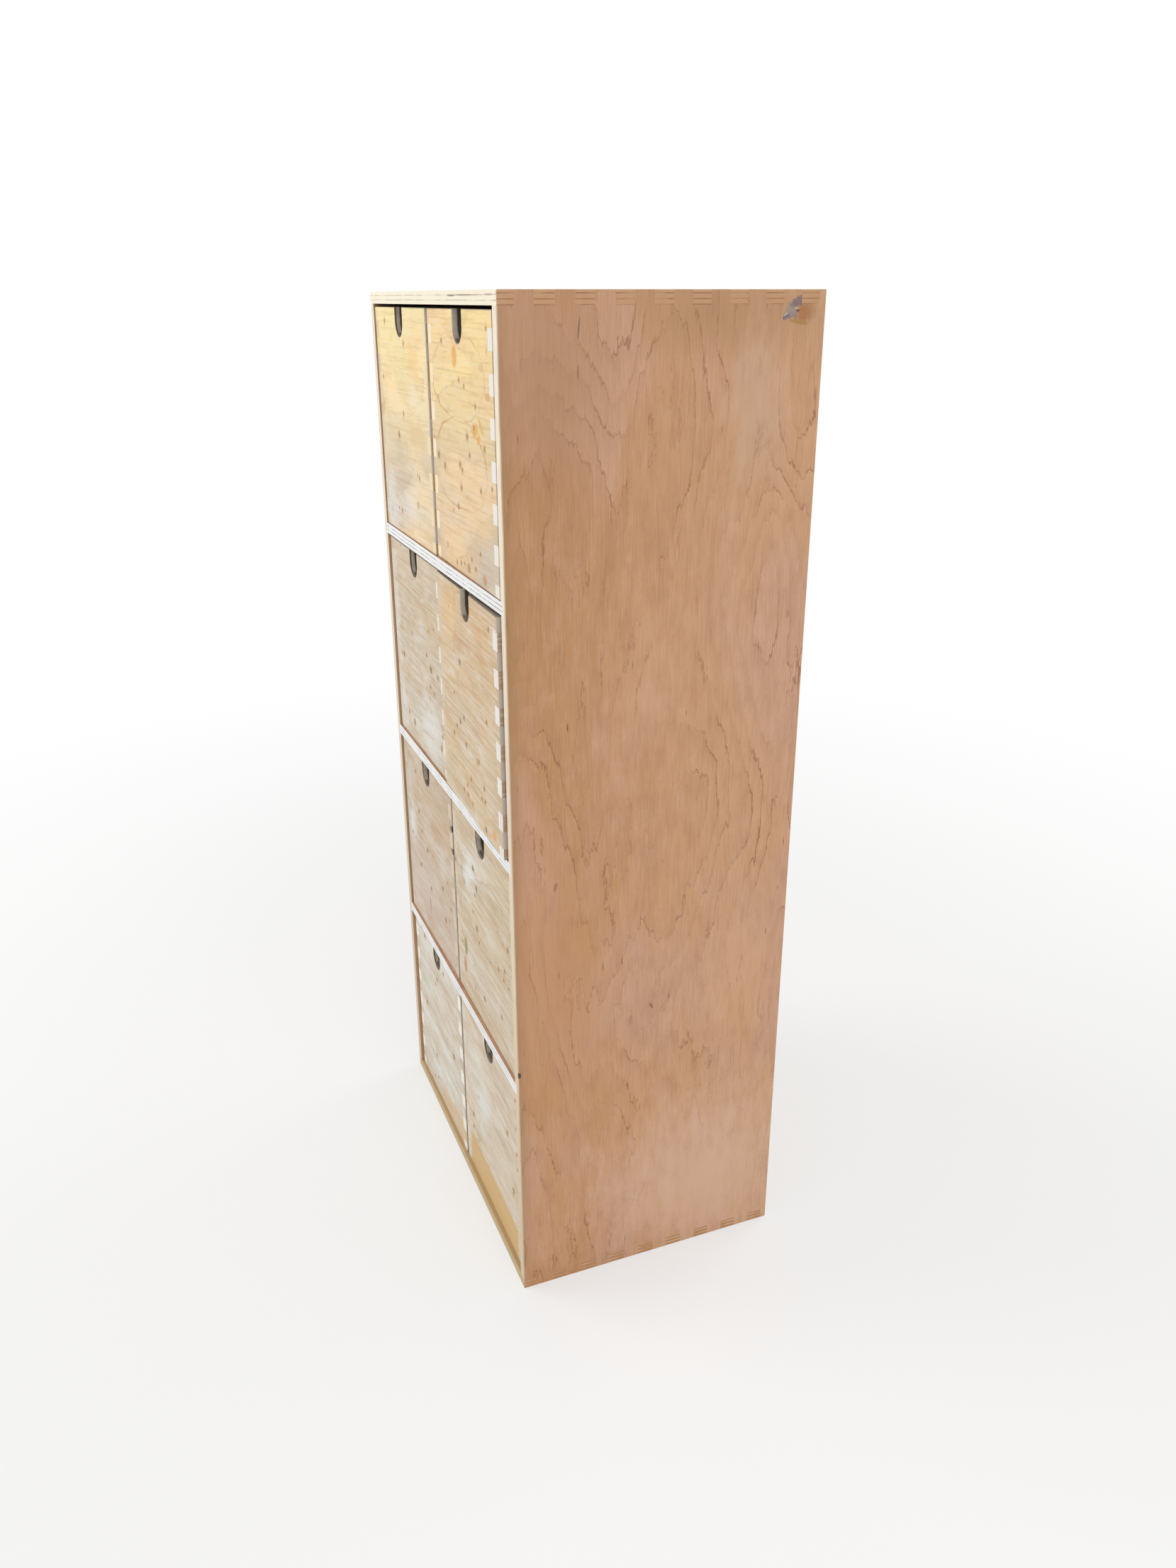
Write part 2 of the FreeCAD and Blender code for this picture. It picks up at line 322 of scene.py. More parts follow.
def plywood(name, box, turn, through, grain, look, seed):
    """Plywood for one board: rotary-cut faces, and plies across the thickness at its edges."""
    cross = 3 - through - grain
    low, high = box
    middle = [(low[i] + high[i]) / 2 for i in range(3)]
    thickness = high[through] - low[through]
    finish = new_material(name)

    room = finish.node("ShaderNodeTexCoord", output="Object")
    spot = room
    if turn:
        spot = finish.node(
            "ShaderNodeVectorRotate", {"rotation_type": "Z_AXIS"}, {"Vector": room, "Angle": turn}
        )
    place = finish.axes(spot)
    normals = finish.axes(room.output("Normal"))
    facing = [abs(one) for one in normals]
    along = place[grain] - middle[grain]
    across = place[cross] - middle[cross]
    depth = (place[through] - low[through]) / thickness
    layer = depth * DEPTH_SCALE + seed * SEED_STEP
    board = finish.node("ShaderNodeCombineXYZ", {}, {0: along, 1: across, 2: layer})

    # Slow changes of tone over the sheet.
    tone = finish.noise(board, (3.0, 7.0), detail=2.5, roughness=0.55)
    rise = finish.ramp(place[Z], low[Z], high[Z])
    face = finish.mix(rise, look.low, look.high)
    if look.rear_share:
        face = finish.mix(finish.ramp(place[Y], low[Y], high[Y]) * look.rear_share, face, look.rear)
    face = finish.mix(finish.ramp(tone, 0.42, 0.6) * 0.75, face, look.blush)

    # Growth lines, mottling, and fibres both lighter and darker than the face.
    line, shade, ragged = growth_lines(finish, board, across, look)
    patchy = finish.ramp(finish.noise(board, (7.0, 15.0)), 0.4, 0.62)
    mottle = finish.noise(board, look.mottle_scale, detail=4.0, roughness=0.62)
    fibre = finish.noise(board, look.fibre_scale, detail=3.0, roughness=0.65)
    pores = finish.noise(board, (130.0, 1300.0), roughness=0.7)
    face = finish.mix(shade * look.ring_shade, face, look.vein)
    face = finish.mix(finish.ramp(mottle, 0.5, 0.74) * look.mottle_strength, face, look.vein)
    face = finish.mix((1.0 - finish.ramp(mottle, 0.28, 0.5)) * look.mottle_strength, face, look.wash)
    face = finish.mix((1.0 - finish.ramp(fibre, 0.3, 0.5)) * look.fibre_strength * 0.8, face, look.wash)
    # Pale patches over the face, thinner towards the top by wash_top.
    if look.wash_strength:
        pale_patches = finish.noise(board, (5.0, 12.0), detail=5.0, roughness=0.7)
        thin = look.wash_strength * (1.0 - rise * (1.0 - look.wash_top))
        face = finish.mix(finish.ramp(pale_patches, 0.47, 0.66) * thin, face, look.wash)
    face = finish.mix(finish.ramp(fibre, 0.48, 0.72) * look.fibre_strength, face, look.vein)
    face = finish.mix(finish.ramp(pores, 0.56, 0.76) * look.fibre_strength, face, look.vein)
    face = finish.mix(line * patchy * look.ring_strength, face, look.vein)
    for ring in look.rings:
        away = finish.vector("DIVIDE", finish.vector("SUBTRACT", room, ring.centre), ring.size)
        length = finish.length(away)
        sway = (mottle - 0.5) * 0.25 + (tone - 0.5) * 0.8 + (ragged - 0.5) * 0.14
        trace = finish.near(length + sway, 1.0, 0.03)
        face = finish.mix(trace * (0.2 + 0.8 * patchy) * ring.strength, face, look.halo)

    # Flecks and pin knots: small dark cores, each in a stained ring.
    shift = (seed * FLECK_STEPS[0], seed * FLECK_STEPS[1], 0.0)
    spread = finish.vector("MULTIPLY_ADD", board, look.fleck_scale + (1.0,), shift)
    cells = finish.node(
        "ShaderNodeTexVoronoi", {"voronoi_dimensions": "2D"}, {"Vector": spread, "Scale": 1.0}
    )
    pick = finish.node("ShaderNodeSeparateColor", {}, {0: cells.output("Color")})
    chosen = finish.ramp(pick, look.fleck_share, look.fleck_share + 0.02)
    reach = look.fleck_size * (0.3 + pick.output("Green") * 1.1)
    from_core = cells + (ragged - 0.5) * 0.3 + (mottle - 0.5) * 0.16
    fleck = (1.0 - finish.ramp(from_core, reach * 0.35, reach)) * chosen
    halo = (1.0 - finish.ramp(from_core, reach * 0.8, reach * 2.4)) * chosen
    if look.knots:
        from_knot = knot_distance(finish, room, look.knots)
        from_knot = from_knot + (ragged - 0.5) * 1.1 + (mottle - 0.5) * 0.8
        fleck = finish.calc("MAXIMUM", fleck, 1.0 - finish.ramp(from_knot, 0.55, 1.4))
        halo = finish.calc("MAXIMUM", halo, 1.0 - finish.ramp(from_knot, 1.1, 2.8))
    face = finish.mix(halo * look.halo_strength, face, look.halo)
    face = finish.mix(fleck * look.fleck_strength, face, look.fleck)
    if look.inner:
        inside = finish.ramp(normals[through] * look.inner_side, 0.2, 0.6)
        face = finish.mix(inside * 0.85, face, look.inner)

    # Plies at the long edges and at the ends.
    fibres = finish.noise(spot, 80.0, detail=4.0, roughness=0.7)
    wavy = depth + (finish.noise(spot, 9.0) - 0.5) * 0.05
    varied = 0.3 + 0.7 * finish.ramp(finish.noise(spot, 34.0), 0.4, 0.6)
    light = finish.mix(rise, look.edge_low, look.edge) if look.edge_low else look.edge
    wood = (wavy, fibres, look.grime)
    edge = plies(finish, wood, varied, light, look.edge_band, look.band_places, look.band_width)
    end = plies(finish, wood, varied, look.end, look.end_band, look.end_places, look.end_width)
    if look.mouth:
        mouth = plies(
            finish, wood, 1.0, look.mouth, look.mouth_band, NOTCH_SHADOW_AND_PLY_PLACES, NOTCH_PLY_WIDTH
        )
        end = finish.mix(finish.ramp(abs(along), look.mouth_reach, look.mouth_reach + 0.01), mouth, end)

    is_face = finish.ramp(facing[through], 0.72, 0.86)
    is_end = finish.ramp(facing[grain], 0.6, 0.75)
    colours = finish.mix(is_face, finish.mix(is_end, edge, end), face)
    frays = finish.noise(room, 260.0, detail=4.0, roughness=0.65)
    # Stains, and among them painted shade and painted highlights.
    for stain_and_shading in look.stains_and_shading:
        away = finish.vector("SUBTRACT", room, stain_and_shading.centre)
        if stain_and_shading.turn:
            axis = tuple(1.0 if i == through else 0.0 for i in range(3))
            away = finish.node(
                "ShaderNodeVectorRotate",
                {"rotation_type": "AXIS_ANGLE"},
                {"Vector": away, "Axis": axis, "Angle": stain_and_shading.turn},
            )
        away = finish.vector("DIVIDE", away, stain_and_shading.size)
        length = finish.length(away)
        if stain_and_shading.square:
            sides = finish.axes(finish.vector("ABSOLUTE", away))
            length = finish.calc("MAXIMUM", sides[X], sides[Z])
        torn = (ragged + mottle - 1.0) * stain_and_shading.torn
        if stain_and_shading.frayed:
            torn = torn + (frays - 0.5) * stain_and_shading.frayed
        mark = 1.0 - finish.ramp(length + torn, 1.0 - stain_and_shading.soft, 1.0 + stain_and_shading.soft * 0.3)
        colours = finish.mix(mark * stain_and_shading.strength, colours, colour(*stain_and_shading.tint))

    # Relief and gloss follow the same lines.
    furrow = (line * 0.4 + fibre + pores * 0.6 + fleck * 0.6) * is_face + fibres * (1.0 - is_face)
    bump = finish.node(
        "ShaderNodeBump",
        {"invert": True},
        {"Strength": look.relief, "Distance": RELIEF_DEPTH, "Height": furrow},
    )
    rough = look.roughness + furrow * 0.1 + (tone - 0.5) * 0.12
    shader = finish.node(
        "ShaderNodeBsdfPrincipled",
        {},
        {"Base Color": colours, "Roughness": rough, "Normal": bump},
    )
    return finish.surface(shader)


def brushed_steel(name, tint):
    """Drawn steel wire: fine rings along the pin."""
    finish = new_material(name)
    spot = finish.node("ShaderNodeTexCoord", output="Object")
    drawn = finish.noise(spot, (2500.0, 500.0, 2500.0), detail=3.0)
    rust = finish.ramp(finish.noise(spot, 420.0, detail=3.0), 0.6, 0.74)
    colours = finish.mix(rust * 0.35, tint, colour(0.22, 0.13, 0.08))
    bump = finish.node("ShaderNodeBump", {}, {"Strength": 0.1, "Distance": 0.0001, "Height": drawn})
    shader = finish.node(
        "ShaderNodeBsdfPrincipled",
        {},
        {
            "Base Color": colours,
            "Metallic": 1.0 - rust * 0.5,
            "Roughness": 0.3 + drawn * 0.2,
            "Normal": bump,
        },
    )
    return finish.surface(shader)


def dress(node, material):
    """Gives one CAD solid its material in every slot."""
    solid = frame["nodes"][node]
    if not solid.material_slots:
        solid.data.materials.append(material)
    for slot in solid.material_slots:
        slot.link = "OBJECT"
        slot.material = material


def askew(body):
    """How far a body is turned about the upright axis, from the faces of its boards."""
    total = Vector((0.0, 0.0, 0.0))
    for node in frame["record"]["behaviour"]["bodies"][body]:
        for face in frame["nodes"][node].data.polygons:
            if face.normal.y < -0.9:
                total += face.normal * face.area
    return math.atan2(total.x, -total.y)


def squared_box(node, turn):
    """Lowest and highest corners of a board after it is turned back square."""
    back = Matrix.Rotation(turn, 3, "Z")
    corners = [back @ vertex.co for vertex in frame["nodes"][node].data.vertices]
    return [
        [extreme(corner[i] for corner in corners) for i in range(3)] for extreme in (min, max)
    ]


def dress_board(node, through, grain, look, seed, turn=0.0):
    """Gives one board its own plywood."""
    box = squared_box(node, turn)
    dress(node, plywood(node + "_plywood", box, turn, through, grain, look, seed))


# --- Sizes and colours that a user would change ---


def tint(name, description, default):
    """A colour property."""
    return bpy.props.FloatVectorProperty(
        name=name, description=description, default=default, min=0.0, max=1.0, subtype="COLOR"
    )


TURN = {"subtype": "ANGLE", "unit": "ROTATION"}
SHARE = {"subtype": "FACTOR", "min": 0.0}
POWER = {"unit": "POWER", "min": 0.0}


def number(name, description, default, **more):
    """A number property."""
    return bpy.props.FloatProperty(name=name, description=description, default=default, **more)


class CabinetFinishes(bpy.types.PropertyGroup):
    """Colours of the plywood."""

    side_low: tint("Side, low", "Veneer of the case sides near the floor", (0.54, 0.275, 0.12))
    side_high: tint("Side, high", "Veneer of the case sides near the top", (0.46, 0.235, 0.1))
    side_rear: tint("Side, rear", "Lighter veneer towards the back of the sides", (0.6, 0.345, 0.195))
    side_blush: tint("Side bands", "Pinkish bands in the case sides", (0.57, 0.325, 0.212))
    side_vein: tint("Side lines", "Growth lines in the case sides", (0.26, 0.11, 0.05))
    shelf_face: tint("Shelf face", "Upper and lower faces of shelves", (0.46, 0.28, 0.15))
    # Front-edge colours are partly the pale plies' own colour and partly painted light from the front.
    front_edge: tint("Front edge", "Light plies in the sides' front edges, high", (0.97, 0.85, 0.67))
    front_edge_low: tint("Front edge, low", "Light plies in the sides' front edges, low", (0.7, 0.54, 0.36))
    front_edge_band: tint("Front edge band", "Thin plies in the sides' front edges", (0.6, 0.5, 0.4))
    shelf_edge: tint("Shelf edge", "Light plies in the shelves' front edges", (0.9, 0.9, 0.9))
    shelf_edge_band: tint("Shelf edge band", "Thin plies in the shelves' front edges", (0.24, 0.23, 0.21))
    sawn_edge: tint("Sawn edge", "Light plies in the drawers' sawn edges", (0.3, 0.25, 0.19))
    sawn_edge_band: tint("Sawn edge band", "Dark plies in the drawers' sawn edges", (0.11, 0.085, 0.06))
    sawn_end: tint("Sawn end", "Ends of the drawers' fronts and backs", (0.6, 0.53, 0.45))
    notch_ply: tint("Notch ply", "Light ply in the finger notches", (0.66, 0.58, 0.47))
    # The notch band colour also paints the shadow line at each notch's front arris.
    notch_band: tint("Notch band", "Dark plies in the finger notches", (0.09, 0.065, 0.045))
    wall_face: tint("Drawer wall", "Broad faces of the drawers' side walls", (0.49, 0.34, 0.225))
    thin_board: tint("Thin board", "Back and drawer floors", (0.5, 0.33, 0.2))
    steel: tint("Steel", "Pins in the back", (0.56, 0.55, 0.53))
    figure: number("Figure", "Strength of the growth lines", 1.0, max=2.0, **SHARE)
    relief: number("Relief", "Strength of the grain's relief", 0.12, max=1.0, **SHARE)


class StudioSettings(bpy.types.PropertyGroup):
    """Camera, light and floor."""

    camera_place: bpy.props.FloatVectorProperty(
        name="Camera place",
        description="Where the camera stands",
        default=(1.65773, -0.64155, 1.40131),
        subtype="TRANSLATION",
        unit="LENGTH",
        precision=5,
    )
    heading: number("Heading", "Turn from the +Y axis towards +X", math.radians(-68.1395), **TURN)
    tilt: number("Tilt", "Tilt below the horizon", math.radians(22.074), **TURN)
    roll: number("Roll", "Roll about the line of sight", math.radians(0.1368), **TURN)
    focal_length: number(
        "Focal length", "For a sensor 36 mm long", 27.542, min=5.0, subtype="DISTANCE_CAMERA"
    )
    sky: number("Sky", "Strength of the even white light", 0.6, max=2.0, **SHARE)
    key_power: number("Key lamp", "Power of the lamp in front", 60.0, **POWER)
    side_power: number("Side lamp", "Power of the lamp at the right", 45.0, **POWER)
    back_power: number("Back lamp", "Power of the lamp behind", 35.0, **POWER)
    floor_radius: number("Floor radius", "Radius of the round floor", 40.0, min=2.0, unit="LENGTH")


# --- Looks of the boards ---


def side_look(finishes):
    """Reddish tan veneer with long ragged flames."""
    return Veneer(
        low=rgba(finishes.side_low),
        high=rgba(finishes.side_high),
        rear=rgba(finishes.side_rear),
        rear_share=0.75,
        blush=rgba(finishes.side_blush),
        vein=rgba(finishes.side_vein),
        fleck=colour(0.16, 0.065, 0.03),
        edge=rgba(finishes.front_edge),
        edge_low=rgba(finishes.front_edge_low),
        edge_band=rgba(finishes.front_edge_band),
        end=rgba(finishes.side_high),
        end_band=colour(0.26, 0.14, 0.08),
        inner=rgba(finishes.shelf_face),
        grime=0.1,
        ring_pitch=17.0,
        ring_sway=13.0,
        ring_scale=(2.6, 8.5),
        ring_jag=(15.0, 78.0),
        ring_jag_size=1.5,
        ring_width=0.0009,
        ring_strength=0.72 * finishes.figure,
        ring_shade=0.12,
        fibre_scale=(26.0, 640.0),
        fibre_strength=0.22,
        mottle_scale=(24.0, 52.0),
        mottle_strength=0.18,
        wash=colour(0.66, 0.45, 0.32),
        fleck_scale=(14.0, 95.0),
        fleck_share=0.93,
        fleck_size=0.085,
        fleck_strength=0.75,
        halo=colour(0.42, 0.19, 0.09),
        halo_strength=0.25,
        relief=finishes.relief,
    )


def oval(x, z, half_width, half_height, tint, strength, **more):
    """A soft mark on a drawer's front or the cabinet's front edge."""
    return StainAndShading((x, FRONT_PLANE, z), (half_width, FRONT_REACH, half_height), tint, strength, **more)


def haze(x, z, half_width, half_height, tint, strength, torn=1.2):
    """A wide stain with a soft edge on a drawer's front."""
    return oval(x, z, half_width, half_height, tint, strength, torn=torn, soft=0.9)


def speck(x, z, half_width, half_height, tint, strength, torn=0.4, frayed=0.9, turn=0.0):
    """A small frayed stain on a drawer's front."""
    return oval(x, z, half_width, half_height, tint, strength, torn=torn, frayed=frayed, turn=turn)


def slab(*place, **more):
    """A mark with straight sides on a drawer's front."""
    return oval(*place, square=True, **more)


def patch(y, z, half_width, half_height, tint, strength, **more):
    """A stain on the right side of the case."""
    return StainAndShading((SIDE_PLANE, y, z), (SIDE_REACH, half_width, half_height), tint, strength, **more)


def shade(y, z, half_width, half_height, tint, strength, torn=0.6, soft=0.9):
    """A wide stain with a soft edge on the right side of the case."""
    return patch(y, z, half_width, half_height, tint, strength, torn=torn, soft=soft)


def tear(y, z, half_width, half_height, tint, strength, torn=0.3, frayed=0.8, **more):
    """One part of a torn mark on the right side of the case."""
    return patch(y, z, half_width, half_height, tint, strength, torn=torn, frayed=frayed, **more)


AMBER = (0.63, 0.39, 0.13)
ORANGE = (0.76, 0.41, 0.085)
CHALK = (0.8, 0.81, 0.78)
WHITE_END = colour(0.86, 0.83, 0.79)
# Dark spots on the boards; on the third-row left drawer this also paints shade in the middle gap.
DARK_SPOT_AND_SHADE = (0.07, 0.035, 0.02)


@dataclass
class Front:
    """What sets one drawer apart: its veneer, the ends of its fingers and its marks."""

    high: tuple
    low: tuple
    blush: tuple
    left_end: tuple
    right_end: tuple
    wash_strength: float
    wash: tuple = PALE_WASH
    wash_top: float = 1.0
    fleck: tuple = (0.24, 0.13, 0.06, 1.0)
    fleck_share: float = 0.95
    figure: float = 1.0
    stains_and_shading: tuple = ()
    rings: tuple = ()
    knots: tuple = ()
    left_places: tuple = PLY_PLACES
    left_width: float = PLY_WIDTH


FRONTS = {
    "row1_left": Front(
        high=colour(1.0, 0.82, 0.38),
        low=colour(0.61, 0.5, 0.405),
        blush=colour(1.0, 0.74, 0.37),
        fleck_share=0.97,
        figure=0.55,
        left_end=colour(0.66, 0.54, 0.38),
        right_end=colour(0.84, 0.68, 0.45),
        wash=colour(0.84, 0.78, 0.68),
        wash_top=0.15,
        wash_strength=0.6,
        knots=(
            (-0.185, 1.211, 0.0052), (-0.267, 1.289, 0.0028), (-0.194, 1.096, 0.0034),
            (-0.075, 1.16, 0.003), (-0.282, 1.352, 0.0024), (-0.214, 1.098, 0.0022),
        ),
        stains_and_shading=(
            oval(-0.296, 1.25, 0.018, 0.17, (0.62, 0.51, 0.38), 0.6, torn=0.8, soft=0.8),
            slab(-0.082, 1.318, 0.04, 0.024, (0.9, 0.57, 0.22), 0.58, torn=2.2, frayed=0.9, soft=0.4),
            slab(-0.076, 1.22, 0.036, 0.017, (0.76, 0.52, 0.23), 0.58, torn=2.2, frayed=0.9, soft=0.4),
            speck(-0.282, 1.248, 0.02, 0.016, (0.56, 0.36, 0.19), 0.5, torn=1.0, frayed=0.3),
            speck(-0.091, 1.12, 0.009, 0.007, (0.52, 0.32, 0.15), 0.6, torn=1.0, frayed=0.5),
            oval(-0.088, 1.272, 0.04, 0.022, (0.94, 0.84, 0.62), 0.4, torn=1.2, soft=0.8),
            haze(-0.27, 1.1, 0.05, 0.06, (0.7, 0.71, 0.67), 0.6, torn=1.0),
        ),
    ),
    "row1_right": Front(
        high=colour(1.0, 0.755, 0.31),
        low=colour(0.623, 0.509, 0.38),
        blush=colour(0.94, 0.65, 0.335),
        figure=0.66,
        left_end=colour(0.9, 0.84, 0.74),
        right_end=WHITE_END,
        left_places=(0.08,),
        left_width=0.42,
        wash=colour(0.8, 0.74, 0.62),
        wash_top=0.2,
        wash_strength=0.35,
        fleck=colour(0.3, 0.17, 0.08),
        knots=(
            (0.069, 1.351, 0.0032), (0.146, 1.307, 0.0028), (0.168, 1.301, 0.0026),
            (0.215, 1.281, 0.003), (0.175, 1.242, 0.0042), (0.249, 1.234, 0.0036),
            (0.03, 1.205, 0.0052), (0.061, 1.194, 0.0048), (0.137, 1.204, 0.004),
            (0.146, 1.198, 0.0034), (0.139, 1.175, 0.004), (0.228, 1.182, 0.0036),
            (0.121, 1.149, 0.0034), (0.275, 1.191, 0.0026), (0.216, 1.103, 0.003),
            (0.175, 1.089, 0.003), (0.192, 1.08, 0.0034), (0.123, 1.075, 0.0034),
            (0.14, 1.077, 0.0028), (0.102, 1.072, 0.0032),
        ),
        stains_and_shading=(
            speck(0.128, 1.334, 0.013, 0.014, ORANGE, 0.95, torn=0.3, frayed=0.6),
            oval(0.106, 1.331, 0.026, 0.01, (0.9, 0.64, 0.26), 0.45, torn=0.5, soft=0.8),
            speck(0.212, 1.252, 0.013, 0.008, ORANGE, 0.95, torn=0.2, turn=0.4),
            speck(0.225, 1.243, 0.009, 0.006, ORANGE, 0.9, torn=0.2, turn=0.5),
            speck(0.236, 1.259, 0.016, 0.0038, ORANGE, 0.85, torn=0.2, turn=-0.75),
            speck(0.206, 1.255, 0.005, 0.004, (0.42, 0.2, 0.06), 0.7, torn=0.3, frayed=0.8),
            speck(0.232, 1.073, 0.01, 0.008, (0.5, 0.27, 0.1), 0.8),
            speck(0.16, 1.075, 0.009, 0.007, (0.38, 0.22, 0.1), 0.75),
            speck(0.057, 1.087, 0.008, 0.006, (0.56, 0.34, 0.18), 0.6, frayed=0.8),
            speck(0.268, 1.295, 0.012, 0.005, (0.66, 0.36, 0.14), 0.75),
            speck(0.246, 1.326, 0.01, 0.006, (0.72, 0.42, 0.2), 0.5, frayed=1.0),
            oval(0.012, 1.262, 0.02, 0.018, (0.92, 0.66, 0.34), 0.5, torn=1.0, soft=0.8),
        ),
        rings=(
            Ring((0.134, -0.205, 1.312), (0.122, 0.1, 0.05), 0.95),
            Ring((0.134, -0.205, 1.2), (0.124, 0.1, 0.056), 0.95),
        ),
    ),
    "row2_left": Front(
        high=colour(0.64, 0.51, 0.35),
        low=colour(0.64, 0.56, 0.44),
        blush=colour(0.66, 0.5, 0.33),
        left_end=colour(0.7, 0.62, 0.5),
        right_end=colour(0.86, 0.82, 0.74),
        wash=colour(0.76, 0.76, 0.7),
        wash_strength=0.65,
        fleck=colour(0.22, 0.13, 0.07),
        knots=(
            (-0.047, 0.943, 0.003), (-0.097, 0.89, 0.0034), (-0.075, 0.873, 0.0052),
            (-0.035, 0.871, 0.004), (-0.248, 0.853, 0.005), (-0.262, 0.851, 0.0032),
            (-0.083, 0.842, 0.0034), (-0.061, 0.838, 0.0036), (-0.088, 0.823, 0.003),
            (-0.237, 0.755, 0.0034), (-0.201, 0.748, 0.0054), (-0.023, 0.78, 0.0034),
            (-0.034, 0.757, 0.0044), (-0.087, 0.8, 0.0024), (-0.281, 0.955, 0.0028),
        ),
        stains_and_shading=(
            haze(-0.285, 0.93, 0.03, 0.11, CHALK, 0.5),
            haze(-0.09, 0.79, 0.06, 0.06, CHALK, 0.45, torn=1.4),
            haze(-0.27, 0.76, 0.034, 0.06, CHALK, 0.45, torn=1.4),
            haze(-0.06, 0.94, 0.06, 0.04, (0.66, 0.48, 0.26), 0.35),
        ),
    ),
    "row2_right": Front(
        high=colour(0.7, 0.49, 0.265),
        low=colour(0.65, 0.54, 0.37),
        blush=colour(0.68, 0.485, 0.27),
        left_end=colour(0.68, 0.54, 0.38),
        right_end=WHITE_END,
        wash_strength=0.25,
        fleck=colour(0.26, 0.14, 0.065),
        knots=(
            (0.108, 0.935, 0.0042), (0.118, 0.857, 0.0038), (0.098, 0.845, 0.0044),
            (0.079, 0.833, 0.003), (0.233, 0.887, 0.0036), (0.143, 0.774, 0.0036),
            (0.122, 0.757, 0.003), (0.103, 0.743, 0.0034), (0.21, 0.785, 0.0036),
            (0.197, 0.765, 0.0036), (0.07, 0.88, 0.0026), (0.203, 0.712, 0.003),
            (0.188, 0.816, 0.003),
        ),
        stains_and_shading=(
            haze(0.06, 0.995, 0.065, 0.04, (0.76, 0.47, 0.19), 0.6, torn=1.0),
            oval(0.215, 1.0, 0.04, 0.026, (0.76, 0.46, 0.2), 0.45, torn=1.2, soft=0.8),
            speck(0.163, 1.02, 0.018, 0.009, (0.8, 0.47, 0.15), 0.8, torn=0.5, frayed=1.0),
            speck(0.216, 0.963, 0.012, 0.006, (0.64, 0.37, 0.14), 0.65, torn=0.5, frayed=1.0),
            speck(0.18, 0.813, 0.011, 0.006, (0.5, 0.29, 0.13), 0.6, torn=0.5, frayed=1.0),
            speck(0.252, 0.733, 0.009, 0.009, (0.74, 0.34, 0.1), 0.8, torn=0.5, frayed=1.0),
        ),
    ),
    "row3_left": Front(
        high=colour(0.56, 0.42, 0.28),
        low=colour(0.647, 0.539, 0.452),
        blush=colour(0.6, 0.43, 0.28),
        fleck_share=0.94,
        left_end=colour(0.62, 0.54, 0.42),
        right_end=colour(0.68, 0.58, 0.44),
        wash=colour(0.7, 0.66, 0.58),
        wash_strength=0.55,
        fleck=colour(0.2, 0.14, 0.09),
        knots=(
            (-0.213, 0.582, 0.0044), (-0.167, 0.527, 0.0042), (-0.22, 0.477, 0.0044),
            (-0.155, 0.459, 0.004), (-0.077, 0.496, 0.0048), (-0.068, 0.442, 0.005),
            (-0.032, 0.479, 0.0036), (-0.263, 0.522, 0.0034),
        ),
        stains_and_shading=(
            oval(-0.288, 0.56, 0.018, 0.17, (0.5, 0.48, 0.38), 0.6, torn=0.8, soft=0.7),
            oval(-0.26, 0.548, 0.034, 0.05, CHALK, 0.62, torn=1.6, soft=1.0, frayed=0.4),
            oval(-0.266, 0.545, 0.011, 0.018, (0.74, 0.8, 0.79), 0.5, torn=1.2, soft=0.8, frayed=0.6),
            speck(-0.264, 0.522, 0.005, 0.006, (0.36, 0.33, 0.27), 0.6, frayed=0.8),
            speck(-0.167, 0.423, 0.006, 0.016, (0.3, 0.2, 0.13), 0.55, torn=0.6, frayed=1.0),
            # Two dark spots at the middle gap: painted shade where voids in the gap show dark.
            StainAndShading((-0.004, -0.204, 0.634), (0.008, 0.01, 0.006), DARK_SPOT_AND_SHADE, strength=0.95, torn=0.5),
            StainAndShading((-0.004, -0.204, 0.598), (0.008, 0.01, 0.009), DARK_SPOT_AND_SHADE, strength=0.8, torn=0.5),
        ),
    ),
    "row3_right": Front(
        high=colour(0.65, 0.53, 0.35),
        low=colour(0.65, 0.54, 0.39),
        blush=colour(0.65, 0.51, 0.34),
        left_end=colour(0.68, 0.57, 0.43),
        right_end=colour(0.66, 0.56, 0.43),
        wash_strength=0.35,
        fleck=colour(0.21, 0.15, 0.09),
        knots=(
            (0.107, 0.617, 0.004), (0.121, 0.59, 0.0036), (0.116, 0.519, 0.0054),
            (0.099, 0.541, 0.0026), (0.126, 0.501, 0.0032), (0.223, 0.508, 0.0036),
            (0.252, 0.521, 0.0038), (0.23, 0.432, 0.0036), (0.144, 0.413, 0.0038),
            (0.043, 0.589, 0.004), (0.054, 0.57, 0.0034),
        ),
        stains_and_shading=(
            speck(0.046, 0.585, 0.01, 0.018, (0.4, 0.34, 0.24), 0.6, torn=0.6, frayed=1.4),
            oval(0.074, 0.598, 0.04, 0.038, CHALK, 0.72, torn=1.8, soft=0.9, frayed=0.8),
            oval(0.082, 0.594, 0.02, 0.018, (0.72, 0.78, 0.79), 0.6, torn=1.4, soft=0.8, frayed=0.9),
            speck(0.107, 0.617, 0.006, 0.005, (0.2, 0.17, 0.1), 0.8, frayed=1.0),
            speck(0.122, 0.589, 0.005, 0.007, (0.22, 0.19, 0.12), 0.75, frayed=1.2),
            speck(0.112, 0.574, 0.005, 0.004, (0.26, 0.22, 0.14), 0.65, frayed=1.0),
            speck(0.048, 0.454, 0.01, 0.019, (0.3, 0.24, 0.09), 0.85, torn=0.3),
            speck(0.041, 0.417, 0.009, 0.016, (0.46, 0.24, 0.13), 0.85, torn=0.3),
        ),
    ),
    "row4_left": Front(
        high=colour(0.7, 0.63, 0.52),
        low=colour(0.69, 0.61, 0.49),
        blush=colour(0.68, 0.59, 0.47),
